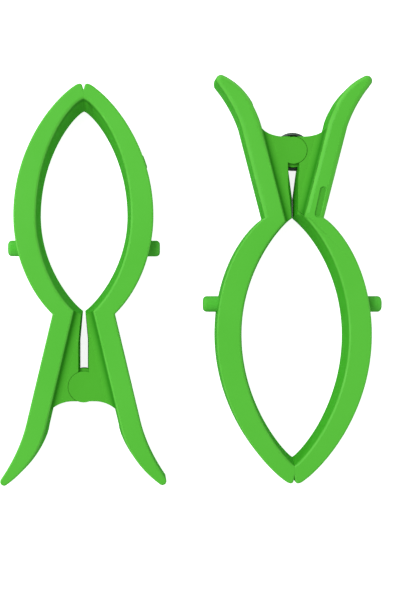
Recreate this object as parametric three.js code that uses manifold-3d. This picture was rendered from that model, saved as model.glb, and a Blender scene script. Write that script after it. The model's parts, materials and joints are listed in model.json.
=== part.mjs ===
// A pair of hand-squeezed spring clamps with bowed, almond-shaped jaws, lying flat side by side.
// Each clamp is two identical mouldings on a steel pin, held shut by a torsion spring.
// Millimetres, +Z up. A clamp's own frame has its pivot at x = y = 0, its jaws towards +Y,
// and its rear face at z = 0. The pair's origin is the centre of the footprint, on the surface.
import * as THREE from "three";
import Module from "manifold-3d";
import { mergeVertices } from "three/addons/utils/BufferGeometryUtils.js";

const wasm = await Module();
wasm.setup();

// Shared sizes
const depth = 30;                 // front face to rear face of a clamp
const webRecess = 4.5;            // web plates set back from both faces
const partGap = 0.3;              // between two pieces that touch
const discThickness = 3.5;        // outer knuckle of the lap joint
const earOverDisc = 1.7;          // how far the ear's rim stands out past the disc
const pinRadius = 2;
const pinClearance = 0.25;
const pinSkin = 1.3;              // plastic left over the pin's blind end
const pinTail = 1.7;              // pin standing out of the rear disc
const washerRadius = 4.2;
const washerThickness = 0.8;
const wireRadius = 1.1;
const legReach = 19;              // spring leg, from the pivot outwards
const grooveClearance = 0.3;
const pegRadius = 4.5;
const pegCorner = 2.2;            // rounding of the peg's free end
const pegSeat = 2.5;              // how deep the peg's head sits in the arm
const pegShankRadius = 2.5;
const pegShankLength = 4;
const studRadius = 3.6;
const studHeight = 1.9;
const studSeat = 0.5;             // how deep the stud's head sits in the arm
const studShankRadius = 1.6;
const studShankLength = 4;
const studRearHeight = 9;         // the stud sits towards the rear face
const tipLead = 0.35;             // first step of each jaw tip's rounding off its meeting face
const tipLeadLength = 3.6;        // how far down the meeting face that rounding starts
const noseStart = 10;             // degrees above sideways where the handle's nose arc begins
const webOverlap = 2;             // how far the web plate runs into the arm it grows from
const slotOverrun = 4;            // how far the web slot runs up past the neck
const cutOverrun = 1;             // cuts run this far past the faces they open
const pairSpacing = 118.4;        // between the two clamps' long axes
const pairOffset = 133.4;         // between the two pivots, along the clamps

// Sizes of each clamp, from its pivot. The jaws' outer wall, the edge of the opening at both faces
// and the ridge inside it at half depth are three bows, each with its own powers for its roundness.
// An inner bow stands in from the outer one by its side, tip and neck walls.
const longHandleClamp = {
  name: "long_handle",
  jawHalfWidth: 39.2,
  jawWideY: 96.3,
  jawTipY: 171.4,
  jawNeckY: 30.8,
  outerWall: { side: 0, tip: 0, neck: 0, tipPower: 0.757, neckPower: 0.645 },
  rimWall: { side: 12.5, tip: 9.4, neck: 7.8, tipPower: 0.735, neckPower: 0.755 },
  ridgeWall: { side: 14.7, tip: 15.6, neck: 11.6, tipPower: 0.785, neckPower: 0.85 },
  tipCornerX: 4.508,
  notchY: 40.8,
  neckCorner: [5.9, 42.3],
  handleLean: 14.3,
  padStartY: -26.8,
  padOuterControl: [37.6, -37],
  padInnerControl: [28, -42.3],
  padNose: [43.3, -51.7],
  padNoseRadius: 3.3,
  padNoseTurn: 127,
  webEdgeY: -8.3,
  webEdgeControlX: 10,
  webCornerY: -10.9,
  slotHalfWidth: 2.2,
  slotStraightY: 26.4,
  slotNeckHalfWidth: 0.45,
  slotDraft: 0.8,
  discRadius: 8.7,
  coilRadius: 8.7,
  pegY: 78.1,
  pegReach: 5.8,
  studY: 126.4,
};
const longJawClamp = {
  name: "long_jaw",
  jawHalfWidth: 43.8,
  jawWideY: 104.2,
  jawTipY: 189.3,
  jawNeckY: 31.4,
  outerWall: { side: 0, tip: 0, neck: 0, tipPower: 0.79, neckPower: 0.55 },
  rimWall: { side: 12.8, tip: 11.3, neck: 2.2, tipPower: 0.86, neckPower: 0.76 },
  ridgeWall: { side: 14.9, tip: 15.3, neck: 7.2, tipPower: 0.86, neckPower: 0.85 },
  tipCornerX: 5.037,
  notchY: 38.4,
  neckCorner: [5.7, 37],
  handleLean: 14.5,
  padStartY: -13.1,
  padOuterControl: [35, -26],
  padInnerControl: [25, -34.5],
  padNose: [41.4, -38.5],
  padNoseRadius: 3.2,
  padNoseTurn: 115,
  webEdgeY: -7.1,
  webEdgeControlX: 10.5,
  webCornerY: -10.8,
  slotHalfWidth: 2.25,
  slotStraightY: 11,
  slotNeckHalfWidth: 0.15,
  slotDraft: 0.8,
  discRadius: 7.1,
  coilRadius: 9.5,
  pegY: 86.8,
  pegReach: 8.6,
  recessEnds: [[16.3, 22.8], [13.4, 36.1]],
  recessRadius: 1.8,
  recessDepth: 1.2,
};

// Smoothness
const bowSteps = 22;
const curveSteps = 8;
const roundSteps = 40;
const turnSteps = 20;
const wireArcSteps = 4;
const roundEndSteps = 4;
const legSteps = 6;

const middle = depth / 2;
const webFront = depth - webRecess;
const discFloor = webFront - discThickness;
const earTop = discFloor - partGap;
const wirePitch = 2 * wireRadius + partGap;
const earFloor = middle + wirePitch + wireRadius + partGap;

const plastic = new THREE.MeshStandardMaterial({ color: 0x5cbe45, roughness: 0.45, metalness: 0 });
const pegPlastic = new THREE.MeshStandardMaterial({ color: 0x3f9a2c, roughness: 0.5, metalness: 0 });
const springSteel = new THREE.MeshStandardMaterial({ color: 0x39423d, roughness: 0.35, metalness: 1 });
const pinSteel = new THREE.MeshStandardMaterial({ color: 0x9a9d9c, roughness: 0.3, metalness: 1 });

function toSolid(geometry) {
  const bare = geometry.clone();
  bare.deleteAttribute("normal");
  bare.deleteAttribute("uv");
  const merged = mergeVertices(bare, 1e-4);
  const vertProperties = new Float32Array(merged.attributes.position.array);
  const triVerts = new Uint32Array(merged.index.array);
  return new wasm.Manifold(new wasm.Mesh({ numProp: 3, vertProperties, triVerts }));
}

function toGeometry(solid) {
  const mesh = solid.getMesh();
  const geometry = new THREE.BufferGeometry();
  geometry.setAttribute("position", new THREE.BufferAttribute(new Float32Array(mesh.vertProperties), 3));
  geometry.setIndex(new THREE.BufferAttribute(new Uint32Array(mesh.triVerts), 1));
  return geometry;
}

function prism(shape, low, high) {
  const geometry = new THREE.ExtrudeGeometry(shape, {
    depth: high - low,
    bevelEnabled: false,
    curveSegments: curveSteps,
  });
  geometry.translate(0, 0, low);
  return toSolid(geometry);
}

function upright(radius, low, high) {
  const geometry = new THREE.CylinderGeometry(radius, radius, high - low, roundSteps);
  geometry.rotateX(Math.PI / 2);
  geometry.translate(0, 0, (low + high) / 2);
  return toSolid(geometry);
}

function block(low, high) {
  const size = high.map((value, axis) => value - low[axis]);
  const geometry = new THREE.BoxGeometry(...size);
  geometry.translate(...low.map((value, axis) => value + size[axis] / 2));
  return toSolid(geometry);
}

// A round piece about its own X axis, from a profile of [distance along, radius].
function turned(profile) {
  const points = profile.map(([along, radius]) => new THREE.Vector2(radius, along));
  const geometry = new THREE.LatheGeometry(points, roundSteps / 2);
  geometry.rotateZ(-Math.PI / 2);
  return geometry;
}

// A bow is a rounded almond: half width W cos(a)^2p at height h sin(a) from its widest place.
function bowPoint(clamp, wall, angle) {
  const upper = angle >= 0;
  const tipReach = clamp.jawTipY - wall.tip - clamp.jawWideY;
  const neckReach = clamp.jawWideY - clamp.jawNeckY - wall.neck;
  const reach = upper ? tipReach : neckReach;
  const power = upper ? wall.tipPower : wall.neckPower;
  const x = (clamp.jawHalfWidth - wall.side) * Math.max(Math.cos(angle), 0) ** (2 * power);
  return new THREE.Vector2(x, clamp.jawWideY + reach * Math.sin(angle));
}

function bowAngleAtY(clamp, wall, y) {
  const end = bowPoint(clamp, wall, y >= clamp.jawWideY ? Math.PI / 2 : -Math.PI / 2).y;
  const share = Math.abs((y - clamp.jawWideY) / (end - clamp.jawWideY));
  return Math.sign(y - clamp.jawWideY) * Math.asin(Math.min(share, 1));
}

function bowAngleAtX(clamp, wall, x) {
  return Math.acos((x / (clamp.jawHalfWidth - wall.side)) ** (1 / (2 * wall.tipPower)));
}

// Everything inside the jaws. It is narrowest at half depth, so both inner walls have draft.
function jawOpening(clamp) {
  const outline = [];
  for (let i = 0; i < 2 * bowSteps; i += 1) {
    const angle = Math.PI * (i / (2 * bowSteps) - 0.5);
    outline.push(bowPoint(clamp, clamp.ridgeWall, angle));
  }
  const mirrored = outline.slice(1).map((point) => new THREE.Vector2(-point.x, point.y)).reverse();
  const tip = bowPoint(clamp, clamp.ridgeWall, Math.PI / 2);
  const shape = new THREE.Shape([...outline, tip, ...mirrored]);
  const length = depth + 2 * cutOverrun;
  const geometry = new THREE.ExtrudeGeometry(shape, { depth: length, steps: 2, bevelEnabled: false });
  geometry.translate(0, 0, -cutOverrun);
  const position = geometry.attributes.position;
  for (let i = 0; i < position.count; i += 1) {
    const side = Math.sign(position.getX(i));
    const angle = bowAngleAtY(clamp, clamp.ridgeWall, position.getY(i));
    const share = Math.abs(position.getZ(i) - middle) / middle;
    const ridge = bowPoint(clamp, clamp.ridgeWall, angle);
    const rim = bowPoint(clamp, clamp.rimWall, angle);
    const place = ridge.lerp(rim, share);
    position.setXY(i, side * place.x, place.y);
  }
  return toSolid(geometry);
}

// Jaw arm, neck and handle of the right half, filled in as far as the clamp's long axis.
function armShape(clamp) {
  const faceX = partGap / 2;
  const lean = Math.tan(THREE.MathUtils.degToRad(clamp.handleLean));
  const [neckX, neckY] = clamp.neckCorner;
  const topAngle = bowAngleAtX(clamp, clamp.outerWall, clamp.tipCornerX);
  const notchAngle = bowAngleAtY(clamp, clamp.outerWall, clamp.notchY);
  const top = bowPoint(clamp, clamp.outerWall, topAngle);
  const notch = bowPoint(clamp, clamp.outerWall, notchAngle);
  const shape = new THREE.Shape();
  shape.moveTo(faceX, neckY);
  shape.lineTo(faceX, clamp.jawTipY - clamp.rimWall.tip / 2);
  shape.lineTo(faceX + tipLead, clamp.jawTipY - tipLeadLength);
  shape.quadraticCurveTo(faceX + 2 * tipLead, clamp.jawTipY, top.x, top.y);
  for (let i = 1; i <= bowSteps; i += 1) {
    const angle = THREE.MathUtils.lerp(topAngle, notchAngle, i / bowSteps);
    const point = bowPoint(clamp, clamp.outerWall, angle);
    shape.lineTo(point.x, point.y);
  }
  const padOuterX = notch.x + lean * (clamp.notchY - clamp.padStartY);
  const padInnerX = neckX + lean * (neckY - clamp.padStartY);
  const [noseX, noseY] = clamp.padNose;
  const startAngle = THREE.MathUtils.degToRad(noseStart);
  const endAngle = -THREE.MathUtils.degToRad(clamp.padNoseTurn);
  const nose = (angle) => [
    noseX + clamp.padNoseRadius * Math.cos(angle),
    noseY + clamp.padNoseRadius * Math.sin(angle),
  ];
  shape.lineTo(padOuterX, clamp.padStartY);
  shape.quadraticCurveTo(...clamp.padOuterControl, ...nose(startAngle));
  shape.absarc(noseX, noseY, clamp.padNoseRadius, startAngle, endAngle, true);
  shape.quadraticCurveTo(...clamp.padInnerControl, padInnerX, clamp.padStartY);
  shape.lineTo(neckX, neckY);
  return shape;
}

// Web plate between the handle and the long axis, from the neck to its hollowed lower edge.
function webShape(clamp) {
  const faceX = partGap / 2;
  const lean = Math.tan(THREE.MathUtils.degToRad(clamp.handleLean));
  const [neckX, neckY] = clamp.neckCorner;
  const cornerX = neckX + lean * (neckY - clamp.webCornerY) + webOverlap;
  const shape = new THREE.Shape();
  shape.moveTo(faceX, neckY + webOverlap);
  shape.lineTo(faceX, clamp.webEdgeY);
  shape.quadraticCurveTo(clamp.webEdgeControlX, clamp.webEdgeY, cornerX, clamp.webCornerY);
  shape.lineTo(neckX + webOverlap, neckY);
  shape.lineTo(neckX + webOverlap, neckY + webOverlap);
  return shape;
}

// The slot between the two webs, wider towards both faces.
function webSlot(clamp) {
  const top = clamp.neckCorner[1] + slotOverrun;
  const shape = new THREE.Shape();
  shape.moveTo(clamp.slotHalfWidth, 0);
  shape.lineTo(clamp.slotHalfWidth, clamp.slotStraightY);
  shape.lineTo(clamp.slotNeckHalfWidth, top);
  shape.lineTo(-clamp.slotNeckHalfWidth, top);
  shape.lineTo(-clamp.slotHalfWidth, clamp.slotStraightY);
  shape.lineTo(-clamp.slotHalfWidth, 0);
  const geometry = new THREE.ExtrudeGeometry(shape, { depth, steps: 2, bevelEnabled: false });
  const position = geometry.attributes.position;
  for (let i = 0; i < position.count; i += 1) {
    const share = Math.abs(position.getZ(i) - middle) / (webFront - middle);
    const x = position.getX(i);
    position.setX(i, x + Math.sign(x) * clamp.slotDraft * share);
  }
  return toSolid(geometry);
}

// Where the outer wall of the arm stands at a height, and how it leans there.
function armWall(clamp, y) {
  const angle = bowAngleAtY(clamp, clamp.outerWall, y);
  const nearby = 0.01;
  const point = bowPoint(clamp, clamp.outerWall, angle);
  const next = bowPoint(clamp, clamp.outerWall, angle + nearby);
  const normal = Math.atan2(point.x - next.x, next.y - point.y);
  return { x: point.x, y, normal };
}

// One moulding: the right half of a clamp, with the front disc and the rear ear of the lap joint.
function clampHalf(clamp) {
  const earRadius = clamp.discRadius + earOverDisc;
  const pocketRadius = Math.max(clamp.coilRadius, earRadius) + partGap;
  const coilMiddle = clamp.coilRadius - wireRadius;
  const webRear = depth - webFront;
  const earRearLow = depth - earTop;
  const earRearHigh = depth - earFloor;
  const below = block([-2 * earRadius, -2 * earRadius, 0], [2 * earRadius, clamp.webEdgeY, depth]);
  const arm = prism(armShape(clamp), 0, depth);
  const web = prism(webShape(clamp), webRear, webFront);
  const disc = upright(clamp.discRadius, discFloor, webFront);
  const ear = upright(earRadius, earRearLow, earRearHigh).subtract(below);
  const legHole = block(
    [0, coilMiddle - wireRadius - grooveClearance, middle],
    [legReach + grooveClearance, coilMiddle + wireRadius + grooveClearance, earFloor],
  );
  const wall = armWall(clamp, clamp.pegY);
  const pegHole = toSolid(
    turned([
      [-pegSeat - pegShankLength - partGap, 0],
      [-pegSeat - pegShankLength - partGap, pegShankRadius + partGap],
      [-pegSeat, pegShankRadius + partGap],
      [-pegSeat, pegRadius + partGap],
      [pegRadius, pegRadius + partGap],
      [pegRadius, 0],
    ]),
  ).translate([wall.x, wall.y, middle]);
  let half = arm.add(web);
  half = half.subtract(jawOpening(clamp)).subtract(webSlot(clamp));
  half = half.subtract(upright(earRadius + partGap, earFloor - partGap, discFloor));
  half = half.subtract(upright(pocketRadius, depth - earFloor, earFloor));
  half = half.subtract(upright(clamp.discRadius + partGap, webRear - cutOverrun, depth - discFloor + partGap));
  half = half.subtract(legHole).subtract(pegHole);
  half = half.add(disc).add(ear);
  half = half.subtract(upright(pinRadius + pinClearance, webRear, webFront - pinSkin));
  if (clamp.recessEnds) {
    half = half.subtract(gripRecess(clamp));
  }
  return half;
}

// A blind oval recess in the rear face of the right half's handle.
function gripRecess(clamp) {
  const [[x0, y0], [x1, y1]] = clamp.recessEnds;
  const along = Math.atan2(y1 - y0, x1 - x0);
  const shape = new THREE.Shape();
  shape.absarc(x1, y1, clamp.recessRadius, along - Math.PI / 2, along + Math.PI / 2, false);
  shape.absarc(x0, y0, clamp.recessRadius, along + Math.PI / 2, along + (3 * Math.PI) / 2, false);
  return prism(shape, -cutOverrun, clamp.recessDepth);
}

// Half of the torsion spring: a straight leg, then one turn about the pivot.
class SpringWire extends THREE.Curve {
  constructor(radius) {
    super();
    this.radius = radius;
    this.turn = 2 * Math.PI - partGap / 2 / radius;
    this.legShare = legReach / (legReach + radius * this.turn);
  }

  getPoint(t) {
    const low = middle - wirePitch;
    if (t <= this.legShare) {
      return new THREE.Vector3(-legReach * (1 - t / this.legShare), this.radius, low);
    }
    const angle = (this.turn * (t - this.legShare)) / (1 - this.legShare);
    const rise = (wirePitch * angle) / (2 * Math.PI);
    return new THREE.Vector3(this.radius * Math.sin(angle), this.radius * Math.cos(angle), low + rise);
  }
}

function springHalf(clamp) {
  const section = new THREE.Shape();
  section.absarc(0, 0, wireRadius, 0, 2 * Math.PI, false);
  const extrudePath = new SpringWire(clamp.coilRadius - wireRadius);
  const steps = turnSteps + legSteps;
  const options = { steps, extrudePath, curveSegments: wireArcSteps, bevelEnabled: false };
  return new THREE.ExtrudeGeometry(section, options);
}

// A round-ended peg pressed into the outer wall of a jaw arm.
function sidePeg(clamp) {
  const inner = -pegSeat - pegShankLength;
  const profile = [[inner, 0], [inner, pegShankRadius], [-pegSeat + partGap, pegShankRadius]];
  profile.push([-pegSeat + partGap, pegRadius]);
  for (let i = 0; i <= roundEndSteps; i += 1) {
    const angle = (i / roundEndSteps) * (Math.PI / 2);
    const along = clamp.pegReach - pegCorner + pegCorner * Math.sin(angle);
    profile.push([along, pegRadius - pegCorner + pegCorner * Math.cos(angle)]);
  }
  profile.push([clamp.pegReach, 0]);
  return turned(profile);
}

// A low domed stud on the outer wall of one jaw arm, and the hole that takes it.
function studProfile(clearance) {
  const flat = studHeight / 3;
  const profile = [[-studShankLength - clearance, 0]];
  profile.push([-studShankLength - clearance, studShankRadius + clearance]);
  profile.push([-studSeat - clearance, studShankRadius + clearance]);
  profile.push([-studSeat - clearance, studRadius + clearance]);
  if (clearance > 0) {
    profile.push([studHeight, studRadius + clearance], [studHeight, 0]);
    return profile;
  }
  for (let i = 0; i < roundEndSteps; i += 1) {
    const angle = (i / roundEndSteps) * (Math.PI / 2);
    const along = flat + (studHeight - flat) * Math.sin(angle);
    profile.push([along, studRadius * Math.cos(angle)]);
  }
  profile.push([studHeight, 0]);
  return profile;
}

function piece(name, geometry, material) {
  const mesh = new THREE.Mesh(geometry, material);
  mesh.name = name;
  return mesh;
}

// The same moulding turned half round the clamp's long axis makes the other half.
function otherSide(mesh) {
  mesh.rotation.y = Math.PI;
  mesh.position.z = depth;
  return mesh;
}

function makeClamp(clamp) {
  const group = new THREE.Group();
  const title = (word) => `${clamp.name}_${word}`;
  const half = clampHalf(clamp);
  const throughHole = upright(pinRadius + pinClearance, middle, depth);
  let rightHalf = half;
  if (clamp.studY) {
    const wall = armWall(clamp, clamp.studY);
    const lean = THREE.MathUtils.radToDeg(wall.normal);
    const hole = toSolid(turned(studProfile(partGap))).rotate([0, 0, lean]);
    rightHalf = half.subtract(hole.translate([wall.x, wall.y, studRearHeight]));
    const stud = piece(title("side_stud"), turned(studProfile(0)), pegPlastic);
    stud.position.set(wall.x, wall.y, studRearHeight);
    stud.rotation.z = wall.normal;
    group.add(stud);
  }
  group.add(piece(title("right_half"), toGeometry(rightHalf), plastic));
  group.add(otherSide(piece(title("left_half"), toGeometry(half.subtract(throughHole)), plastic)));
  group.add(piece(title("spring_left_end"), springHalf(clamp), springSteel));
  group.add(otherSide(piece(title("spring_right_end"), springHalf(clamp), springSteel)));
  const webRear = depth - webFront;
  const pinTop = webFront - pinSkin - partGap;
  const pin = new THREE.CylinderGeometry(pinRadius, pinRadius, pinTop - webRear + pinTail, roundSteps / 2);
  pin.rotateX(Math.PI / 2);
  pin.translate(0, 0, (pinTop + webRear - pinTail) / 2);
  group.add(piece(title("pivot_pin"), pin, pinSteel));
  const washerHigh = webRear - partGap;
  const washer = new THREE.LatheGeometry(
    [
      new THREE.Vector2(pinRadius + pinClearance, washerHigh - washerThickness),
      new THREE.Vector2(washerRadius, washerHigh - washerThickness),
      new THREE.Vector2(washerRadius, washerHigh),
      new THREE.Vector2(pinRadius + pinClearance, washerHigh),
      new THREE.Vector2(pinRadius + pinClearance, washerHigh - washerThickness),
    ],
    roundSteps / 2,
  );
  washer.rotateX(Math.PI / 2);
  group.add(piece(title("pin_washer"), washer, pinSteel));
  const wall = armWall(clamp, clamp.pegY);
  for (const side of ["right", "left"]) {
    const peg = piece(title(`${side}_peg`), sidePeg(clamp), pegPlastic);
    peg.position.set(side === "right" ? wall.x : -wall.x, wall.y, middle);
    peg.rotation.z = side === "right" ? 0 : Math.PI;
    group.add(peg);
  }
  return group;
}

const group = new THREE.Group();
const jawsUp = makeClamp(longHandleClamp);
const jawsDown = makeClamp(longJawClamp);
jawsDown.rotation.z = Math.PI;
jawsDown.position.set(pairSpacing, pairOffset, 0);
group.add(jawsUp, jawsDown);
group.updateMatrixWorld(true);
const footprint = new THREE.Box3().setFromObject(group).getCenter(new THREE.Vector3());
group.position.set(-footprint.x, -footprint.y, 0);

export default group;
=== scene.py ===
# Two squeeze clamps with bowed jaws: mouldings, springs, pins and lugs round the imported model.
import json
import math

import bpy
from mathutils import Matrix, Vector


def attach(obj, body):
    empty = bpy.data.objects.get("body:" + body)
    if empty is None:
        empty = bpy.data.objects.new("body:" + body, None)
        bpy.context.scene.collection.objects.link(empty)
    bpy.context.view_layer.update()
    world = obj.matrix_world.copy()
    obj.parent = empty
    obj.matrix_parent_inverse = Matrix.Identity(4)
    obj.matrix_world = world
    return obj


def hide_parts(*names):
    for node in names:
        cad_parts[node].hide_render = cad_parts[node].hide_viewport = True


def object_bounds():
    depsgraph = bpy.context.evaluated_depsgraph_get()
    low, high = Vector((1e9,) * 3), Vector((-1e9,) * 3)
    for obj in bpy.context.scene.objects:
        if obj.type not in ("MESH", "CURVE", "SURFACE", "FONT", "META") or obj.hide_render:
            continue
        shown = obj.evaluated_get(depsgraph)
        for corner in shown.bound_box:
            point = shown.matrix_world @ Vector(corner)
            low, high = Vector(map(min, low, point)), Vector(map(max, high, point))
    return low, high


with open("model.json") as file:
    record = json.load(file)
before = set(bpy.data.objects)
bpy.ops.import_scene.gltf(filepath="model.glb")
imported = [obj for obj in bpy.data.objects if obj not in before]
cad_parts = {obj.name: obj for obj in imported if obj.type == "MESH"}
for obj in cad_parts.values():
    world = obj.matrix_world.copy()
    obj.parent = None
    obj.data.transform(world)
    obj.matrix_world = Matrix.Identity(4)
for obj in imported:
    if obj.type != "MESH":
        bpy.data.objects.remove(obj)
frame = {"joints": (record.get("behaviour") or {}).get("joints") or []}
cadLow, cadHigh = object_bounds()
joints = {joint["name"]: joint for joint in frame["joints"]}

mm = 0.001                              # pieces are shaped in millimetres, then placed in metres
depth = (cadHigh.z - cadLow.z) / mm
middle = depth / 2
near = 0.01                             # heights this close together count as one

# The two clamps, each measured from its own pivot.
longHandle = {
    "name": "long_handle",
    "jawHalfWidth": 39.2,
    "jawWideY": 96.3,
    "jawTipY": 171.4,
    "jawNeckY": 30.8,
    "outerWall": {"side": 0, "tip": 0, "neck": 0, "tipPower": 0.757, "neckPower": 0.645},
    "rimWall": {"side": 12.5, "tip": 9.4, "neck": 7.8, "tipPower": 0.735, "neckPower": 0.755},
    "ridgeWall": {"side": 14.7, "tip": 15.6, "neck": 11.6, "tipPower": 0.785, "neckPower": 0.85},
    "tipCornerX": 4.508,
    "notchY": 40.8,
    "neckCorner": (5.6, 42.3),
    "handleLean": 13.4,
    "padStartY": -21,
    "padOuterControl": (35.9, -36.5),
    "padInnerControl": (25.3, -41.5),
    "padNose": (44.2, -52.7),
    "padNoseRadius": 2.3,
    "outerDraft": 0,
    "neckOverrun": 2,
    "frontDraft": 1,
    "webEdge": ((7, -8.1), (14.6, -8.6), (19.6, -14)),
    "slot": ((2.1, 26.4), (0.3, 46.3)),
    "slotAtFaces": (2.9, 0.9),
    "discRadius": 8.7,
    "coilRadius": 8.7,
    "pegY": 78.1,
    "pegReach": 5.8,
    "studY": 127.8,
    "rimRound": 1.1,
    "handleRound": 1.1,
}
longJaw = {
    "name": "long_jaw",
    "jawHalfWidth": 43.8,
    "jawWideY": 104.2,
    "jawTipY": 189.3,
    "jawNeckY": 31.4,
    "outerWall": {"side": 0, "tip": 0, "neck": 0, "tipPower": 0.79, "neckPower": 0.55},
    "rimWall": {"side": 12.8, "tip": 11.3, "neck": 2.2, "tipPower": 0.86, "neckPower": 0.76},
    "ridgeWall": {"side": 14.9, "tip": 15.3, "neck": 6.5, "tipPower": 0.86, "neckPower": 0.85},
    "tipCornerX": 5.037,
    "notchY": 38.4,
    "neckCorner": (5.7, 37),
    "handleLean": 14.5,
    "padStartY": -13.1,
    "padOuterControl": (35, -26),
    "padInnerControl": (25, -34.5),
    "padNose": (41.7, -39),
    "padNoseRadius": 3,
    "outerDraft": 0.6,
    "neckOverrun": 5,
    "frontDraft": 0.2,
    "webEdge": ((6.5, -7.8), (14.8, -8.3), (18.6, -12.6)),
    "slot": ((2.2, 11), (0.03, 27), (0.03, 41)),
    "slotAtFaces": (3.2, 2.4, 1.5),
    "discRadius": 7.6,
    "coilRadius": 10.8,
    "pegY": 86.8,
    "pegReach": 8.6,
    "recessEnds": ((16.3, 22.8), (13.4, 36.1)),
    "rimRound": 1.1,
    "handleRound": 2.6,
}

# Working tools.
def putDown():
    if bpy.context.object and bpy.context.object.mode != "OBJECT":
        bpy.ops.object.mode_set(mode="OBJECT")
    bpy.ops.object.select_all(action="DESELECT")


def pickUp(piece):
    putDown()
    piece.select_set(True)
    bpy.context.view_layer.objects.active = piece


def selectEdges(piece, chosen):
    pickUp(piece)
    bpy.ops.object.mode_set(mode="EDIT")
    bpy.ops.mesh.select_mode(type="EDGE")
    bpy.ops.mesh.select_all(action="DESELECT")
    bpy.ops.object.mode_set(mode="OBJECT")
    points = piece.data.vertices
    for edge in piece.data.edges:
        edge.select = chosen(*(points[i].co for i in edge.vertices))
    bpy.ops.object.mode_set(mode="EDIT")


# Rounds edges by a size that may differ from wall to wall.
def roundBySize(piece, sizeOf, segments):
    pickUp(piece)
    weights = piece.data.attributes.new("bevel_weight_edge", "FLOAT", "EDGE")
    points = piece.data.vertices
    sizes = [sizeOf(*(points[i].co for i in edge.vertices)) for edge in piece.data.edges]
    largest = max(sizes)
    for weight, size in zip(weights.data, sizes):
        weight.value = size / largest
    modifier = piece.modifiers.new("rounding", "BEVEL")
    modifier.limit_method = "WEIGHT"
    modifier.width = largest
    modifier.segments = segments
    modifier.use_clamp_overlap = False
    bpy.ops.object.modifier_apply(modifier=modifier.name)


# Rounds the chosen edges by one size.
def roundEdges(piece, chosen, size, segments):
    selectEdges(piece, chosen)
    bpy.ops.mesh.bevel(
        offset=size, segments=segments, profile=0.5, affect="EDGES", clamp_overlap=False
    )
    bpy.ops.object.mode_set(mode="OBJECT")


def applyBoolean(piece, other, operation):
    pickUp(piece)
    modifier = piece.modifiers.new("shape", "BOOLEAN")
    modifier.operation = operation
    modifier.solver = "MANIFOLD"
    modifier.object = other
    bpy.ops.object.modifier_apply(modifier=modifier.name)


def cutAway(piece, cutter):
    applyBoolean(piece, cutter, "DIFFERENCE")
    bpy.data.objects.remove(cutter)


def joinOn(piece, addition):
    applyBoolean(piece, addition, "UNION")
    bpy.data.objects.remove(addition)


def copyOf(piece, name):
    twin = piece.copy()
    twin.data = piece.data.copy()
    twin.name = name
    bpy.context.scene.collection.objects.link(twin)
    return twin


def settle(piece, matrix):
    piece.matrix_world = matrix
    pickUp(piece)
    bpy.ops.object.transform_apply(location=True, rotation=True, scale=True)


def faceOutwards(piece):
    pickUp(piece)
    bpy.ops.object.mode_set(mode="EDIT")
    bpy.ops.mesh.select_all(action="SELECT")
    bpy.ops.mesh.normals_make_consistent(inside=False)
    bpy.ops.object.mode_set(mode="OBJECT")


# A closed plate from an outline, extruded up through each height in turn.
def plateFrom(name, outline, *heights):
    putDown()
    bpy.ops.mesh.primitive_circle_add(vertices=len(outline), fill_type="NGON")
    plate = bpy.context.object
    plate.name = name
    for vertex, (x, y) in zip(plate.data.vertices, outline):
        vertex.co = (x, y, heights[0])
    bpy.ops.object.mode_set(mode="EDIT")
    bpy.ops.mesh.select_all(action="SELECT")
    for low, high in zip(heights, heights[1:]):
        bpy.ops.mesh.extrude_region_move(TRANSFORM_OT_translate={"value": (0, 0, high - low)})
    bpy.ops.mesh.select_all(action="SELECT")
    bpy.ops.mesh.normals_make_consistent(inside=False)
    bpy.ops.object.mode_set(mode="OBJECT")
    return plate


def uprightRound(name, radius, low, high, sides=96):
    putDown()
    place = (0, 0, (low + high) / 2)
    bpy.ops.mesh.primitive_cylinder_add(
        vertices=sides, radius=radius, depth=high - low, location=place
    )
    piece = bpy.context.object
    piece.name = name
    bpy.ops.object.transform_apply(location=True, rotation=True, scale=True)
    return piece


def sidewaysRound(name, radius, start, end, sides=64):
    putDown()
    place = ((start + end) / 2, 0, 0)
    turn = (0, math.pi / 2, 0)
    bpy.ops.mesh.primitive_cylinder_add(
        vertices=sides, radius=radius, depth=end - start, location=place, rotation=turn
    )
    piece = bpy.context.object
    piece.name = name
    bpy.ops.object.transform_apply(location=True, rotation=True, scale=True)
    return piece


def blockFrom(name, low, high):
    putDown()
    place = [(a + b) / 2 for a, b in zip(low, high)]
    size = [b - a for a, b in zip(low, high)]
    bpy.ops.mesh.primitive_cube_add(size=1, location=place, scale=size)
    block = bpy.context.object
    block.name = name
    bpy.ops.object.transform_apply(location=True, rotation=True, scale=True)
    return block


# Where a straight line from a point touches a circle, as an angle round the circle.
def tangentAngle(centre, radius, point, side):
    away = Vector(point) - Vector(centre)
    return math.atan2(away.y, away.x) + side * -math.acos(radius / away.length)


def curveTo(outline, control, end, steps):
    start = outline[-1]
    for i in range(1, steps + 1):
        t = i / steps
        outline.append(tuple(
            (1 - t) ** 2 * a + 2 * t * (1 - t) * b + t * t * c
            for a, b, c in zip(start, control, end)
        ))


def arcTo(outline, centre, radius, startAngle, endAngle, steps=18):
    for i in range(1, steps + 1):
        angle = startAngle + (endAngle - startAngle) * i / steps
        outline.append((centre[0] + radius * math.cos(angle), centre[1] + radius * math.sin(angle)))


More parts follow.
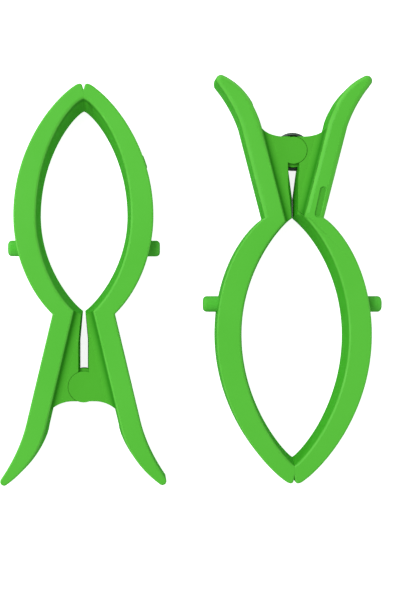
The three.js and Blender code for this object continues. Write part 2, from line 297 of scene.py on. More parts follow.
# The mouldings.
moulding = {
    "webRecess": 4.5,
    "gap": 0.3,                 # running gap between pieces
    "meetingGap": 0.04,         # the jaw tips close on each other
    "seamGap": 0.15,
    "discThickness": 3.5,
    "earOverDisc": 1.7,
    "coilHeight": 3.9,          # half the height of the spring pocket
    "tipLead": 0.35,
    "tipLeadLength": 3.6,
    "meetingOverrun": 4,        # shaped past the meeting plane first, then trimmed back to it
    "handleRidge": 1.5,         # the handles' inner walls stand out this much at half depth
    "ridgeRise": 12,            # outline points over which the ridge rises from the pad
    "ridgeFade": 4,             # and over which it drops at the neck
    "ridgeAtNeck": 0.6,
    "wallApart": 2,             # points this far from the handle's inner wall are on the outer one
    "wallMargin": 0.2,
    "trimMargin": 0.1,
    "openMargin": 0.5,
    "wellClear": 30,
    "webOverlap": 2,
    "webStart": (0.27, -0.955), # in disc radii, clear of the other web as the handles close
    "coveWidth": 6,             # web faces sweep up into the arms
    "coveRise": 3.3,
    "coveSunk": 0.6,
    "coveSkin": 0.03,
    "coveSteps": 16,
    "coveLength": 80,
    "coveStart": 12,
    "archSteps": 24,
    "webEdgeRound": 0.5,
    "discEdgeRound": 0.35,
    "recessRadius": 2.1,
    "recessDepth": 1.35,
    "recessRound": 0.9,
    "overrun": 1,
    "bowSteps": 56,
    "slopeStep": 0.01,
    "apexClear": 0.8,           # no points of a bow stand closer than this to the clamp's long axis
    "curveSteps": 14,
    "rimSegments": 5,
    "recessSegments": 4,
    "edgeSegments": 3,
    "smoothBelow": 32,          # degrees
    "faceWeight": 60,
}
webRear = moulding["webRecess"]
webFront = depth - moulding["webRecess"]
discFloor = webFront - moulding["discThickness"]
earTop = discFloor - moulding["gap"]
earFloor = middle + moulding["coilHeight"]
meetingX = moulding["meetingGap"] / 2


# A bow is a rounded almond: half width W cos(a)^2p at height h sin(a) from its widest place.
def bowPoint(clamp, wall, angle):
    if angle >= 0:
        reach = clamp["jawTipY"] - wall["tip"] - clamp["jawWideY"]
        power = wall["tipPower"]
    else:
        reach = clamp["jawWideY"] - clamp["jawNeckY"] - wall["neck"]
        power = wall["neckPower"]
    x = (clamp["jawHalfWidth"] - wall["side"]) * max(math.cos(angle), 0) ** (2 * power)
    return x, clamp["jawWideY"] + reach * math.sin(angle)


def bowAngleAtY(clamp, wall, y):
    away = y - clamp["jawWideY"]
    end = bowPoint(clamp, wall, math.copysign(math.pi / 2, away))[1]
    return math.copysign(math.asin(min(abs(away / (end - clamp["jawWideY"])), 1)), away)


def bowAngleAtX(clamp, wall, x):
    return math.acos((x / (clamp["jawHalfWidth"] - wall["side"])) ** (1 / (2 * wall["tipPower"])))


def wallAt(clamp, y):
    angle = bowAngleAtY(clamp, clamp["outerWall"], y)
    x, y = bowPoint(clamp, clamp["outerWall"], angle)
    nextX, nextY = bowPoint(clamp, clamp["outerWall"], angle + moulding["slopeStep"])
    return x, y, math.atan2(x - nextX, nextY - y)


def handleWallX(clamp, y):
    neckX, neckY = clamp["neckCorner"]
    return neckX + math.tan(math.radians(clamp["handleLean"])) * (neckY - y)


# Jaw arm, neck and handle of the right half, filled in as far as the clamp's long axis.
def armOutline(clamp):
    lean = math.tan(math.radians(clamp["handleLean"]))
    neckX, neckY = clamp["neckCorner"]
    outer = clamp["outerWall"]
    tipY = clamp["jawTipY"]
    topAngle = bowAngleAtX(clamp, outer, clamp["tipCornerX"])
    notchAngle = bowAngleAtY(clamp, outer, clamp["notchY"])
    over = clamp["neckOverrun"]
    steps = moulding["curveSteps"]
    past = -moulding["meetingOverrun"]
    leadY = tipY - clamp["rimWall"]["tip"] / 2
    outline = [(past, neckY + over), (past, leadY), (meetingX, leadY)]
    outline.append((meetingX + moulding["tipLead"], tipY - moulding["tipLeadLength"]))
    tipControl = (meetingX + 2 * moulding["tipLead"], tipY)
    curveTo(outline, tipControl, bowPoint(clamp, outer, topAngle), steps)
    for i in range(1, moulding["bowSteps"] + 1):
        angle = topAngle + (notchAngle - topAngle) * i / moulding["bowSteps"]
        outline.append(bowPoint(clamp, outer, angle))
    notchX = outline[-1][0]
    noseX, noseY = clamp["padNose"]
    radius = clamp["padNoseRadius"]
    noseStart = tangentAngle(clamp["padNose"], radius, clamp["padOuterControl"], 1)
    noseEnd = tangentAngle(clamp["padNose"], radius, clamp["padInnerControl"], -1)
    noseEnd -= 2 * math.pi if noseEnd > noseStart else 0
    outline.append((notchX + lean * (clamp["notchY"] - clamp["padStartY"]), clamp["padStartY"]))
    noseTop = (noseX + radius * math.cos(noseStart), noseY + radius * math.sin(noseStart))
    curveTo(outline, clamp["padOuterControl"], noseTop, steps)
    arcTo(outline, clamp["padNose"], radius, noseStart, noseEnd)
    padStart = (handleWallX(clamp, clamp["padStartY"]), clamp["padStartY"])
    curveTo(outline, clamp["padInnerControl"], padStart, steps)
    outline.append((neckX - lean * over, neckY + over))
    return outline


# The filled arm, with draft on the handle's outer wall and a ridge at half depth on its inner wall.
def armPlate(clamp):
    outline = armOutline(clamp)
    plate = plateFrom(clamp["name"] + "_right_half", outline, 0, middle, depth)
    lean = math.radians(clamp["handleLean"])
    outwards = Vector((math.cos(lean), math.sin(lean)))
    for vertex in plate.data.vertices:
        place = vertex.co.xy
        innerWall = Vector((handleWallX(clamp, place.y), place.y))
        onOuterWall = (place - innerWall).dot(outwards) > moulding["wallApart"]
        onRim = abs(vertex.co.z - middle) > near
        if onOuterWall and onRim and place.y < clamp["notchY"] + near:
            vertex.co.xy = place - outwards * clamp["outerDraft"]
    steps, fade = moulding["curveSteps"], moulding["ridgeFade"]
    last = len(outline) - 1
    for i in range(last - steps, last + 1):
        share = min((i - last + steps + 1) / moulding["ridgeRise"], 1)
        if i > last - fade:
            share = min((last - i) / fade + moulding["ridgeAtNeck"], share)
        corner = Vector(outline[i])
        for vertex in plate.data.vertices:
            if abs(vertex.co.z - middle) < near and (vertex.co.xy - corner).length < near / 10:
                vertex.co.xy -= outwards * moulding["handleRidge"] * share
                break
    return plate


# Everything inside the jaws, narrowest at half depth so that both inner walls have draft.
def jawOpening(clamp):
    steps = 2 * moulding["bowSteps"]
    wall = clamp["ridgeWall"]
    right = [bowPoint(clamp, wall, math.pi * (i / steps - 0.5)) for i in range(steps + 1)]
    between = [point for point in right if point[0] > moulding["apexClear"]]
    right = [right[0], *between, right[-1]]
    left = [(-x, y) for x, y in right[-2:0:-1]]
    low, high = -moulding["overrun"], depth + moulding["overrun"]
    cutter = plateFrom("jaw_opening", right + left, low, middle, high)
    for vertex in cutter.data.vertices:
        angle = bowAngleAtY(clamp, wall, vertex.co.y)
        side = (vertex.co.x > 0) - (vertex.co.x < 0)
        share = abs(vertex.co.z - middle) / middle
        if vertex.co.z > middle:
            towardsTip = angle / math.pi + 0.5
            share *= clamp["frontDraft"] + (1 - clamp["frontDraft"]) * towardsTip
        ridge = bowPoint(clamp, wall, angle)
        rim = bowPoint(clamp, clamp["rimWall"], angle)
        vertex.co.x = side * (ridge[0] + (rim[0] - ridge[0]) * share)
        vertex.co.y = ridge[1] + (rim[1] - ridge[1]) * share
    return cutter


# The slot is narrowest at half depth and widens to both web faces.
def webSlot(clamp):
    outline = [(clamp["slot"][0][0], 0), *clamp["slot"]]
    faces = [clamp["slotAtFaces"][0], *clamp["slotAtFaces"]]
    outline += [(-x, y) for x, y in reversed(outline)]
    faces += [-x for x in reversed(faces)]
    cutter = plateFrom("web_slot", outline, 0, middle, depth)
    for vertex in cutter.data.vertices:
        share = abs(vertex.co.z - middle) / (webFront - middle)
        place = vertex.co.xy
        nearest = min(range(len(outline)), key=lambda i: (place - Vector(outline[i])).length)
        vertex.co.x += (faces[nearest] - outline[nearest][0]) * share
    return cutter


def webOutline(clamp):
    neckX, neckY = clamp["neckCorner"]
    over = moulding["webOverlap"]
    arch, control, corner = clamp["webEdge"]
    nearX, nearY = (clamp["discRadius"] * share for share in moulding["webStart"])
    nearY = max(nearY, arch[1])
    top = neckY + clamp["neckOverrun"]
    outline = [(meetingX, top), (meetingX, nearY), (nearX, nearY), (nearX, arch[1]), arch]
    if nearY == arch[1]:
        outline.remove((nearX, nearY))
    curveTo(outline, control, corner, moulding["archSteps"])
    outline += [(corner[0] + over, corner[1]), (neckX + over, neckY), (neckX + over, top)]
    return outline


# The hollow sweep between a web face and the arm's inner wall, for the front or the rear face.
def webCove(clamp, front):
    width, rise = moulding["coveWidth"], moulding["coveRise"]
    sunk, skin = moulding["coveSunk"], moulding["coveSkin"]
    profile = [(-sunk, -sunk), (width + sunk, -sunk), (width + sunk, -skin)]
    steps = moulding["coveSteps"]
    for i in range(steps + 1):
        angle = -math.pi / 2 * (1 + i / steps)
        profile.append((width * (1 + math.cos(angle)), rise * (1 + math.sin(angle)) - skin))
    profile.append((-sunk, rise - skin))
    length = moulding["coveLength"]
    strip = plateFrom("web_cove", profile, 0, length)
    lean = math.radians(clamp["handleLean"])
    along = Vector((math.sin(lean), -math.cos(lean), 0))
    across = Vector((-math.cos(lean), -math.sin(lean), 0))
    up = Vector((0, 0, 1 if front else -1))
    corner = Vector((*clamp["neckCorner"], webFront if front else webRear))
    matrix = Matrix((across, up, along)).transposed().to_4x4()
    matrix.translation = corner - along * moulding["coveStart"]
    settle(strip, matrix)
    faceOutwards(strip)
    return strip


def makeWeb(clamp):
    web = plateFrom("web", webOutline(clamp), webRear, webFront)
    cutAway(web, webSlot(clamp))
    cutAway(web, jawOpening(clamp))

    def openEdge(a, b):
        onFace = abs(a.z - b.z) < near and min(abs(a.z - webFront), abs(a.z - webRear)) < near
        reach = max(a.x - handleWallX(clamp, a.y), b.x - handleWallX(clamp, b.y))
        return onFace and reach < moulding["openMargin"]

    roundEdges(web, openEdge, moulding["webEdgeRound"], moulding["edgeSegments"])
    coves = webCove(clamp, True)
    joinOn(coves, webCove(clamp, False))
    room = plateFrom("web_room", webOutline(clamp), 0, depth)
    applyBoolean(coves, room, "INTERSECT")
    bpy.data.objects.remove(room)
    cutAway(coves, jawOpening(clamp))
    cutAway(coves, webSlot(clamp))
    joinOn(web, coves)
    return web


def gripRecess(clamp):
    (x0, y0), (x1, y1) = clamp["recessEnds"]
    along = math.atan2(y1 - y0, x1 - x0)
    radius = moulding["recessRadius"]
    outline = []
    arcTo(outline, (x1, y1), radius, along - math.pi / 2, along + math.pi / 2)
    arcTo(outline, (x0, y0), radius, along + math.pi / 2, along + 3 * math.pi / 2)
    floor = moulding["recessDepth"]
    cutter = plateFrom("recess", outline, -moulding["overrun"], floor)
    segments = moulding["recessSegments"]
    roundEdges(cutter, lambda a, b: min(a.z, b.z) > floor - near, moulding["recessRound"], segments)
    return cutter


def makeHalf(clamp):
    gap, over, wide = moulding["gap"], moulding["overrun"], moulding["wellClear"]
    disc, ear = clamp["discRadius"], clamp["discRadius"] + moulding["earOverDisc"]
    half = armPlate(clamp)
    cutAway(half, jawOpening(clamp))

    def rimSize(a, b):
        onRim = max(a.z, b.z) < near or min(a.z, b.z) > depth - near
        if not onRim or max(a.x, b.x) < moulding["trimMargin"] - moulding["meetingOverrun"]:
            return 0
        centre = (a + b) / 2
        beside = centre.x > handleWallX(clamp, centre.y) - moulding["wallMargin"]
        atHandle = beside and max(a.y, b.y) < clamp["notchY"] + near
        return clamp["handleRound"] if atHandle else clamp["rimRound"]

    roundBySize(half, rimSize, moulding["rimSegments"])
    farCorner = (meetingX, clamp["jawTipY"] + wide, depth + over)
    cutAway(half, blockFrom("past_meeting", (-wide, 0, -over), farCorner))
    joinOn(half, makeWeb(clamp))
    pocket = max(clamp["coilRadius"], ear) + gap
    cutAway(half, uprightRound("ear_room", ear + gap, earFloor - gap, discFloor))
    cutAway(half, uprightRound("coil_room", pocket, depth - earFloor, earFloor))
    seam = disc + moulding["seamGap"]
    cutAway(half, uprightRound("disc_room", seam, webRear - over, depth - discFloor + gap))
    legY = clamp["coilRadius"] - spring["wireRadius"]
    room = spring["wireRadius"] + gap
    farCorner = (spring["legReach"] + gap, legY + room, earFloor)
    cutAway(half, blockFrom("leg_room", (0, legY - room, middle), farCorner))
    x, y, _ = wallAt(clamp, clamp["pegY"])
    hole = sidewaysRound("peg_hole", peg["radius"] + gap, -peg["seat"], peg["radius"])
    settle(hole, Matrix.Translation((x, y, middle)))
    cutAway(half, hole)
    frontDisc = uprightRound("front_disc", disc, discFloor, webFront)

    def seamEdge(a, b):
        return min(a.z, b.z) > webFront - near and max(a.x, b.x) < -gap

    roundEdges(frontDisc, seamEdge, moulding["discEdgeRound"], moulding["edgeSegments"])
    joinOn(half, frontDisc)
    rearEar = uprightRound("rear_ear", ear, depth - earTop, depth - earFloor)
    archY = clamp["webEdge"][0][1]
    cutAway(rearEar, blockFrom("below_web", (-wide, -wide, 0), (wide, archY, depth)))
    joinOn(half, rearEar)
    bore = pin["radius"] + pin["clearance"]
    boreTop = webFront - pin["skin"]
    cutAway(half, uprightRound("pin_hole", bore, webRear - over, boreTop, pin["sides"]))
    if "recessEnds" in clamp:
        cutAway(half, gripRecess(clamp))
    return half


# The mouldings part at half depth, so the line there stays crisp.
def smoothMoulding(piece):
    pickUp(piece)
    bpy.ops.object.shade_smooth_by_angle(angle=math.radians(moulding["smoothBelow"]))
    selectEdges(piece, lambda a, b: max(abs(a.z - middle), abs(b.z - middle)) < near)
    bpy.ops.mesh.mark_sharp()
    bpy.ops.object.mode_set(mode="OBJECT")
    modifier = piece.modifiers.new("flat_faces", "WEIGHTED_NORMAL")
    modifier.mode = "FACE_AREA"
    modifier.weight = moulding["faceWeight"]
    modifier.keep_sharp = True
    bpy.ops.object.modifier_apply(modifier=modifier.name)


# Springs, pegs, studs, pins and washers.
spring = {
    "wireRadius": 1.1,
    "gap": 0.3,
    "legReach": 19,
    "legSteps": 4,
    "coilSteps": 72,
    "overlapTurn": 36,          # degrees the fixed end runs on inside the turning one
    "overlapSteps": 9,
    "overlapThinning": 0.93,
    "rings": 6,
    "smoothBelow": 40,
}
peg = {
    "radius": 4.5,
    "seat": 2.5,
    "gap": 0.3,
    "corner": 2.2,
    "segments": 8,
    "shankRadius": 2.5,
    "shankLength": 4,
    "shankOverlap": 1,
    "shankSides": 40,
}
stud = {
    "radius": 3.9,
    "height": 0.9,
    "doming": 0.7,
    "seat": 0.5,
    "sides": 48,
    "segments": 6,
    "shankRadius": 1.6,
    "shankLength": 4,
    "shankSides": 32,
    "rearHeight": 9,
    "holeGap": 0.15,
    "holeFloor": 0.2,
}
pin = {
    "radius": 2,
    "clearance": 0.25,
    "skin": 1.3,                # plastic left over the pin's front end
    "tail": 1.7,
    "chamfer": 0.35,
    "segments": 3,
    "sides": 48,
}
washer = {
    "radius": 4.2,
    "boreGap": 0.05,
    "thickness": 0.8,
    "teeth": 6,
    "slitWidth": 0.5,
    "slitReach": 3.2,
    "edge": 0.15,
    "rimMargin": 0.05,
    "segments": 2,
    "sides": 72,
}


# Half of the torsion spring: a straight leg, then one turn about the pivot, rising a wire's pitch.
def makeSpring(clamp, name, overlap):
    radius = clamp["coilRadius"] - spring["wireRadius"]
    pitch = 2 * spring["wireRadius"] + spring["gap"]
    low = middle - pitch
    turn = 2 * math.pi - spring["gap"] / 2 / radius
    legSteps, coilSteps = spring["legSteps"], spring["coilSteps"]
    points = [(-spring["legReach"] * (1 - i / legSteps), radius, low) for i in range(legSteps)]
    angles = [turn * i / coilSteps for i in range(coilSteps + 1)]
    whole = len(points) + len(angles)
    overlapTurn = math.radians(spring["overlapTurn"])
    angles += [turn + overlapTurn * (i + 1) / overlap for i in range(overlap)]
    for angle in angles:
        rise = pitch * angle / (2 * math.pi)
        points.append((radius * math.sin(angle), radius * math.cos(angle), low + rise))
    line = bpy.data.curves.new(name, "CURVE")
    line.dimensions = "3D"
    line.bevel_depth = spring["wireRadius"]
    line.bevel_resolution = spring["rings"]
    line.use_fill_caps = True
    track = line.splines.new("POLY")
    track.points.add(len(points) - 1)
    for i, place in enumerate(points):
        track.points[i].co = (*place, 1)
        track.points[i].radius = 1 if i < whole else spring["overlapThinning"]
    wire = bpy.data.objects.new(name, line)
    bpy.context.scene.collection.objects.link(wire)
    pickUp(wire)
    bpy.ops.object.convert(target="MESH")
    wire = bpy.context.object
    bpy.ops.object.shade_smooth_by_angle(angle=math.radians(spring["smoothBelow"]))
    return wire


def makePeg(clamp, name):
    seat, end = peg["seat"], clamp["pegReach"]
    piece = sidewaysRound(name, peg["radius"], peg["gap"] - seat, end)
    roundEdges(piece, lambda a, b: min(a.x, b.x) > end - near, peg["corner"], peg["segments"])
    shankEnds = (-seat - peg["shankLength"], peg["shankOverlap"] - seat)
    shank = sidewaysRound(name + "_shank", peg["shankRadius"], *shankEnds, peg["shankSides"])
    joinOn(piece, shank)
    return piece


def makeStud(name):
    top = stud["height"]
    piece = sidewaysRound(name, stud["radius"], -stud["seat"], top, stud["sides"])
    doming = top * stud["doming"]
    roundEdges(piece, lambda a, b: min(a.x, b.x) > top - near, doming, stud["segments"])
    shankEnds = (-stud["shankLength"], 0)
    shank = sidewaysRound(name + "_shank", stud["shankRadius"], *shankEnds, stud["shankSides"])
    joinOn(piece, shank)
    return piece


def makePin(name):
    top = webFront - pin["skin"] - moulding["gap"]
    piece = uprightRound(name, pin["radius"], webRear - pin["tail"], top, pin["sides"])
    roundEdges(piece, lambda a, b: abs(a.z - b.z) < near, pin["chamfer"], pin["segments"])
    return piece


def makeWasher(name):
    over = moulding["overrun"]
    top = webRear - moulding["gap"]
    low = top - washer["thickness"]
    piece = uprightRound(name, washer["radius"], low, top, washer["sides"])
    bore = pin["radius"] + washer["boreGap"]
    cutAway(piece, uprightRound("washer_bore", bore, low - over, top + over, pin["sides"]))
    half = washer["slitWidth"] / 2
    for i in range(washer["teeth"]):
        slit = blockFrom("slit", (0, -half, low - over), (washer["slitReach"], half, top + over))
        settle(slit, Matrix.Rotation(2 * math.pi * i / washer["teeth"], 4, "Z"))
        cutAway(piece, slit)
    rim = washer["radius"] - washer["rimMargin"]

    def rimEdge(a, b):
        return abs(a.z - b.z) < near and min(a.xy.length, b.xy.length) > rim

    roundEdges(piece, rimEdge, washer["edge"], washer["segments"])
    return piece


# Finishes.
def newMaterial(name):
    material = bpy.data.materials.new(name)
    material.use_nodes = True
    nodes = material.node_tree.nodes
    return material, nodes, material.node_tree.links, nodes["Principled BSDF"]


def noiseOn(nodes, links, place, scale, detail=2.0, distortion=0.0):
    noise = nodes.new("ShaderNodeTexNoise")
    noise.inputs["Scale"].default_value = scale
    noise.inputs["Detail"].default_value = detail
    noise.inputs["Distortion"].default_value = distortion
    links.new(place, noise.inputs["Vector"])
    return noise.outputs["Fac"]


def rangeOf(nodes, links, value, fromLow, fromHigh, toLow, toHigh):
    spread = nodes.new("ShaderNodeMapRange")
    limits = {"From Min": fromLow, "From Max": fromHigh, "To Min": toLow, "To Max": toHigh}
    for slot, number in limits.items():
        spread.inputs[slot].default_value = number
    links.new(value, spread.inputs["Value"])
    return spread.outputs["Result"]


def mathOf(nodes, links, operation, first, second=None):
    step = nodes.new("ShaderNodeMath")
    step.operation = operation
    for slot, value in enumerate((first, second)):
        if value is None:
            continue
        if isinstance(value, (int, float)):
            step.inputs[slot].default_value = value
        else:
            links.new(value, step.inputs[slot])
    return step.outputs["Value"]


def mixColours(nodes, links, share, first, second):
    mix = nodes.new("ShaderNodeMix")
    mix.data_type = "RGBA"
    for slot, colour in ((6, first), (7, second)):
        if isinstance(colour, tuple):
            mix.inputs[slot].default_value = (*colour, 1)
        else:
            links.new(colour, mix.inputs[slot])
    links.new(share, mix.inputs[0])
    return mix.outputs[2]


def linear(red, green, blue):
    def one(value):
        value = value / 255
        return value / 12.92 if value <= 0.04045 else ((value + 0.055) / 1.055) ** 2.4
    return one(red), one(green), one(blue)


def roughen(nodes, links, shader, height, strength, distance):
    bump = nodes.new("ShaderNodeBump")
    bump.inputs["Strength"].default_value = strength
    bump.inputs["Distance"].default_value = distance
    links.new(height, bump.inputs["Height"])
    links.new(bump.outputs["Normal"], shader.inputs["Normal"])


# Satin moulded plastic: slow colour drift, fine mould grain, painted shade on sunk faces, steep
# walls and creases, and painted highlights on the rounded edges.
def plasticMaterial(name, look):
    material, nodes, links, shader = newMaterial(name)
    place = nodes.new("ShaderNodeTexCoord")
    surface = place.outputs["Object"]

    def ranged(value, span, low, high):
        return rangeOf(nodes, links, value, *span, low, high)

    def times(first, second):
        return mathOf(nodes, links, "MULTIPLY", first, second)

    def tinted(share, colour, key):
        return mixColours(nodes, links, share, colour, linear(*look[key]))

    where = nodes.new("ShaderNodeSeparateXYZ")
    links.new(surface, where.inputs["Vector"])
    turn = nodes.new("ShaderNodeSeparateXYZ")
    links.new(place.outputs["Normal"], turn.inputs["Vector"])
    upward = mathOf(nodes, links, "ABSOLUTE", turn.outputs["Z"])
    fromMiddle = mathOf(nodes, links, "SUBTRACT", where.outputs["Z"], middle * mm)
    fromMiddle = mathOf(nodes, links, "ABSOLUTE", fromMiddle)

    drift = noiseOn(nodes, links, surface, look["driftScale"], 3.0, 0.4)
    colour = tinted(ranged(drift, look["noiseSpan"], 0, 1), linear(*look["deep"]), "fresh")
    # Painted shade: faces sunk below the rims get a darker green.
    sunk = ranged(fromMiddle, look["sunkBetween"], 1, 0)
    colour = tinted(sunk, colour, "sunk")
    # Painted shade: steep faces below the rim get a darker, deeper green.
    steep = ranged(upward, look["steepBetween"], 1, 0)
    colour = tinted(times(steep, sunk), colour, "wall")
    # Painted shade: a darker band in the coves where the web meets the arms.
    creaseIn = ranged(fromMiddle, look["creaseFrom"], 0, 1)
    creaseOut = ranged(fromMiddle, look["creaseTo"], 1, 0)
    creaseShade = times(times(creaseIn, creaseOut), ranged(upward, look["creaseLean"], 0, 1))
    colour = tinted(creaseShade, colour, "creaseShade")

    # Painted highlight: rounded edges near the rims get a paler green, broken into patches by
    # noise.
    roundedIn = ranged(upward, look["roundedFrom"], 0, 1)
    roundedOut = ranged(upward, look["roundedTo"], 1, 0)
    rounded = times(times(roundedIn, roundedOut), ranged(fromMiddle, look["highlightFrom"], 0, 1))
    patches = noiseOn(nodes, links, surface, look["highlightPatchScale"], 4.0)
    patches = ranged(patches, look["patchSpan"], look["leastHighlight"], 1)
    highlightShare = times(times(rounded, patches), look["highlightStrength"])
    links.new(tinted(highlightShare, colour, "paintedHighlight"), shader.inputs["Base Color"])

    gloss = noiseOn(nodes, links, surface, look["glossScale"], 3.0)
    rough = ranged(gloss, look["noiseSpan"], *look["roughness"])
    wallDull = ranged(upward, look["dullBetween"], look["wallDullness"], 0)
    dull = mathOf(nodes, links, "MAXIMUM", wallDull, times(sunk, look["sunkDullness"]))
    rough = mathOf(nodes, links, "ADD", rough, dull)
    # Roughness drops a little under the painted highlight.
    rough = mathOf(nodes, links, "SUBTRACT", rough, times(highlightShare, look["highlightGloss"]))
    links.new(rough, shader.inputs["Roughness"])
    grain = noiseOn(nodes, links, surface, look["grainScale"])
    roughen(nodes, links, shader, grain, look["grainStrength"], look["grainDepth"])
    shader.inputs["Specular IOR Level"].default_value = look["specular"]
    return material


# Drawn or ground steel: fine streaks, a tint that drifts.
def steelMaterial(name, look):
    material, nodes, links, shader = newMaterial(name)
    place = nodes.new("ShaderNodeTexCoord")
    tint = noiseOn(nodes, links, place.outputs["Object"], look["tintScale"], 4.0, 0.6)
    tint = rangeOf(nodes, links, tint, *look["tintSpan"], 0, 1)
    colour = mixColours(nodes, links, tint, linear(*look["deep"]), linear(*look["bright"]))
    links.new(colour, shader.inputs["Base Color"])
    streaks = nodes.new("ShaderNodeMapping")
    streaks.inputs["Scale"].default_value = look["streaks"]
    links.new(place.outputs["Object"], streaks.inputs["Vector"])
    lines = noiseOn(nodes, links, streaks.outputs["Vector"], look["lineScale"], 3.0)
    rough = rangeOf(nodes, links, lines, *look["lineSpan"], *look["roughness"])
    links.new(rough, shader.inputs["Roughness"])
    roughen(nodes, links, shader, lines, look["lineStrength"], look["lineDepth"])
    shader.inputs["Metallic"].default_value = look["metallic"]
    return material


# Colours are red, green and blue out of 255. Heights and grain depths are in metres.
mouldedGreen = {
    "deep": (80, 184, 50),
    "fresh": (86, 189, 56),
    "driftScale": 16,
    "noiseSpan": (0.3, 0.7),
    # painted shade on faces sunk below the rims
    "sunk": (77, 176, 45),
    "sunkBetween": (0.0122, 0.0146),
    # painted shade on steep faces below the rim
    "wall": (64, 180, 32),
    "steepBetween": (0.2, 0.5),
    # painted shade in the coves beside the rims
    "creaseShade": (42, 138, 18),
    "creaseFrom": (0.01055, 0.0118),
    "creaseTo": (0.0131, 0.0139),
    "creaseLean": (0.2, 0.4),
    # painted highlight on the rounded rim edges
    "paintedHighlight": (136, 232, 106),
    "highlightPatchScale": 90,
    "highlightFrom": (0.0122, 0.0132),
    "roundedFrom": (0.3, 0.55),
    "roundedTo": (0.8, 0.985),
    "patchSpan": (0.35, 0.65),
    "leastHighlight": 0.35,
    "highlightStrength": 0.26,
    "highlightGloss": 0.1,
    "roughness": (0.42, 0.54),
    "glossScale": 140,
    "wallDullness": 0.45,
    "dullBetween": (0.15, 0.6),
    "sunkDullness": 0.35,
    "grainScale": 2600,
    "grainStrength": 0.12,
    "grainDepth": 0.00006,
    "specular": 0.15,
}
darkGreen = {
    **mouldedGreen,
    "deep": (78, 184, 55),
    "fresh": (86, 192, 61),
    "driftScale": 60,
    "sunk": (84, 190, 59),
    # painted shade on steep faces
    "wall": (78, 184, 50),
    # painted shade in creases
    "creaseShade": (66, 168, 40),
    # painted highlight on rounded edges, at every depth
    "paintedHighlight": (114, 212, 94),
    "highlightFrom": (-1, -0.5),
}
oiledWire = {
    "deep": (44, 54, 49),
    "bright": (78, 88, 82),
    "tintScale": 220,
    "tintSpan": (0.35, 0.65),
    "streaks": (1, 1, 1),
    "lineScale": 1600,
    "lineSpan": (0.3, 0.7),
    "lineStrength": 0.15,
    "lineDepth": 0.00004,
    "roughness": (0.3, 0.45),
    "metallic": 0.85,
}
drawnSteel = {
    **oiledWire,
    "deep": (140, 142, 141),
    "bright": (182, 184, 182),
    "tintScale": 300,
    "streaks": (1, 1, 8),
    "lineScale": 900,
    "lineStrength": 0.2,
    "roughness": (0.22, 0.36),
    "metallic": 1,
}
finishes = {
    "body_plastic": plasticMaterial("moulded_green", mouldedGreen),
    "peg_plastic": plasticMaterial("dark_green", darkGreen),
    "spring_steel": steelMaterial("oiled_wire", oiledWire),
    "pin_steel": steelMaterial("drawn_steel", drawnSteel),
}


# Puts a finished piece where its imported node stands.
def fit(piece, name, node, matrix, body, slot):
    settle(piece, matrix)
    piece.name = name
    piece.data.name = name
    piece.data.materials.clear()
    piece.data.materials.append(finishes[slot])
    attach(piece, body)
    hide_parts(node)


def assemble(clamp, turn):
    name = clamp["name"]
    pivot = joints[name + "_squeeze"]["pos_m"]
    base, mover = name + "_base", name + "_mover"
    toMetres = Matrix.Rotation(turn, 4, "Z") @ Matrix.Scale(mm, 4)
    own = Matrix.Translation((pivot[0], pivot[1], 0)) @ toMetres
    turnedOver = own @ Matrix.Translation((0, 0, depth)) @ Matrix.Rotation(math.pi, 4, "Y")
    right = makeHalf(clamp)
    left = copyOf(right, "left")
    bore = pin["radius"] + pin["clearance"]
    holeTop = depth + moulding["overrun"]
    cutAway(left, uprightRound("through_hole", bore, middle, holeTop, pin["sides"]))
    if "studY" in clamp:
        x, y, lean = wallAt(clamp, clamp["studY"])
        place = Matrix.Translation((x, y, stud["rearHeight"])) @ Matrix.Rotation(lean, 4, "Z")
        radius, floor = stud["radius"] + stud["holeGap"], -stud["seat"] - stud["holeFloor"]
        hole = sidewaysRound("stud_hole", radius, floor, stud["height"], stud["sides"])
        settle(hole, place)
        cutAway(right, hole)
        fit(makeStud("stud"), name + "_stud", name + "_side_stud", own @ place, base, "peg_plastic")
    for half in (left, right):
        smoothMoulding(half)
    fit(right, name + "_right_moulding", name + "_right_half", own, base, "body_plastic")
    fit(left, name + "_left_moulding", name + "_left_half", turnedOver, mover, "body_plastic")
    print("mouldings of", name)
    firstSpring = makeSpring(clamp, "spring", 0)
    secondSpring = makeSpring(clamp, "second_spring", spring["overlapSteps"])
    leftEnd, rightEnd = name + "_spring_left_end", name + "_spring_right_end"
    fit(firstSpring, name + "_left_spring", leftEnd, own, mover, "spring_steel")
    fit(secondSpring, name + "_right_spring", rightEnd, turnedOver, base, "spring_steel")
    fit(makePin("pin"), name + "_pin", name + "_pivot_pin", own, base, "pin_steel")
    fit(makeWasher("washer"), name + "_washer", name + "_pin_washer", own, base, "pin_steel")
    x, y, _ = wallAt(clamp, clamp["pegY"])
    rightLug = makePeg(clamp, "lug")
    leftLug = copyOf(rightLug, "second_lug")
    rightPlace = Matrix.Translation((x, y, middle))
    leftPlace = Matrix.Translation((-x, y, middle)) @ Matrix.Rotation(math.pi, 4, "Z")
    fit(rightLug, name + "_right_lug", name + "_right_peg", own @ rightPlace, base, "peg_plastic")
    fit(leftLug, name + "_left_lug", name + "_left_peg", own @ leftPlace, mover, "peg_plastic")
    print("springs, pin and lugs of", name)


assemble(longHandle, 0)
assemble(longJaw, math.pi)

# Floor, light and camera.
studio = {
    "floorSize": 8,
    "floorDrop": 0.0002,
    "floorColour": 0.8,
    "floorLift": 0.86,
    "ambient": 0.53,
    "lamps": {
        "softbox": {"place": (-0.8, 0.5, 1.7), "size": 0.9, "watts": 21.5},
        "side_strip": {"place": (-1.8, 0.3, 0.6), "size": 0.4, "watts": 4},
    },
}
# The camera looks at a point on the front faces from this far aside and above. Millimetres.
view = {"x": 3.84, "y": -11.2, "aside": -36, "height": 950, "tall": 336, "sensor": 36}


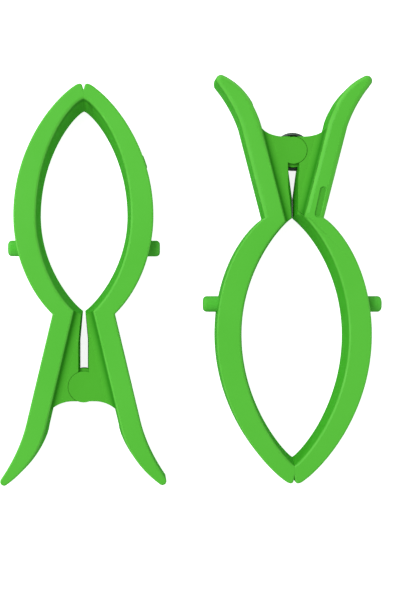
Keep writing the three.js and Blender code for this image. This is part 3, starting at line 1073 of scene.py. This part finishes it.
def seenDirectly(nodes, links):
    rays = nodes.new("ShaderNodeLightPath")
    straight, mirrored = rays.outputs["Is Camera Ray"], rays.outputs["Is Glossy Ray"]
    seen = mathOf(nodes, links, "MAXIMUM", straight, mirrored)
    return mathOf(nodes, links, "MAXIMUM", seen, rays.outputs["Is Transmission Ray"])


def makeFloor():
    putDown()
    place = (0, 0, -studio["floorDrop"])
    bpy.ops.mesh.primitive_plane_add(size=studio["floorSize"], location=place)
    floor = bpy.context.object
    floor.name = "floor"
    material = bpy.data.materials.new("pale_floor")
    material.use_nodes = True
    nodes, links = material.node_tree.nodes, material.node_tree.links
    nodes.remove(nodes["Principled BSDF"])
    plain = nodes.new("ShaderNodeBsdfDiffuse")
    plain.inputs["Color"].default_value = (*[studio["floorColour"]] * 3, 1)
    glow = nodes.new("ShaderNodeEmission")
    lift = mathOf(nodes, links, "MULTIPLY", seenDirectly(nodes, links), studio["floorLift"])
    links.new(lift, glow.inputs["Strength"])
    both = nodes.new("ShaderNodeAddShader")
    links.new(plain.outputs["BSDF"], both.inputs[0])
    links.new(glow.outputs["Emission"], both.inputs[1])
    links.new(both.outputs["Shader"], nodes["Material Output"].inputs["Surface"])
    floor.data.materials.append(material)


def makeWorld():
    world = bpy.data.worlds.new("white_studio")
    bpy.context.scene.world = world
    world.use_nodes = True
    nodes, links = world.node_tree.nodes, world.node_tree.links
    sky = nodes["Background"]
    sky.inputs["Color"].default_value = (1, 1, 1, 1)
    strength = rangeOf(nodes, links, seenDirectly(nodes, links), 0, 1, studio["ambient"], 1)
    links.new(strength, sky.inputs["Strength"])


def makeLamps():
    for name, look in studio["lamps"].items():
        lamp = bpy.data.lights.new(name, "AREA")
        lamp.shape = "DISK"
        lamp.size = look["size"]
        lamp.energy = look["watts"]
        holder = bpy.data.objects.new(name, lamp)
        holder.location = look["place"]
        holder.rotation_euler = (-Vector(look["place"])).to_track_quat("-Z", "Y").to_euler()
        bpy.context.scene.collection.objects.link(holder)


def makeCamera():
    lens = bpy.data.cameras.new("camera")
    lens.sensor_width = view["sensor"]
    lens.lens = lens.sensor_width * view["height"] / view["tall"]
    holder = bpy.data.objects.new("camera", lens)
    holder.rotation_euler.y = math.atan2(view["aside"], view["height"])
    holder.location = Vector((view["x"] + view["aside"], view["y"], depth + view["height"])) * mm
    bpy.context.scene.collection.objects.link(holder)
    bpy.context.scene.camera = holder


makeFloor()
makeWorld()
makeLamps()
makeCamera()
bpy.context.scene.view_settings.view_transform = "Standard"
